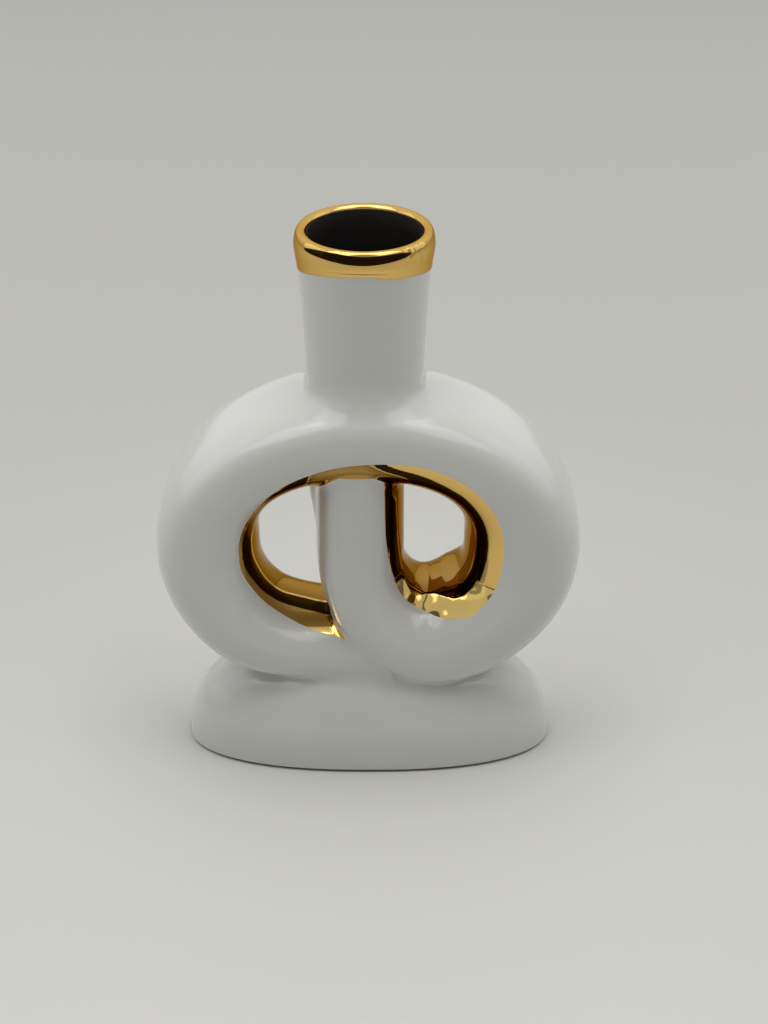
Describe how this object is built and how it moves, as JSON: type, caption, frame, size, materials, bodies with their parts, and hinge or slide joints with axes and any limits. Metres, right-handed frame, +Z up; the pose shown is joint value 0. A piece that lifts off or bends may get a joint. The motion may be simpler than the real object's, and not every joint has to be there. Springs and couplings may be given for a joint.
{
  "type": "ceramic vase",
  "caption": "Hollow glazed knot vase: an oval tube loop with a column through its middle, on an oblong domed foot, with a round neck and gilt edges.",
  "frame": {"origin": "on the table, under the middle of the vase's box", "axes": "+Z up, +X along the width, and the front of the vase faces -Y"},
  "size_m": [0.1869, 0.072, 0.25],
  "materials": {
    "white_glaze": "opaque glossy white glaze over fired earthenware",
    "gold_lustre": "mirror-bright gold lustre fired on glazed earthenware",
    "bare_clay": "matt bare fired clay, wiped clean of glaze"
  },
  "bodies": {
    "root": {"foot_rim": "bare_clay", "plinth": "white_glaze", "loop": "white_glaze", "column": "white_glaze", "left_window_wall": "gold_lustre", "right_window_wall": "gold_lustre", "neck": "white_glaze", "gilt_lip": "gold_lustre"}
  },
  "joints": []
}
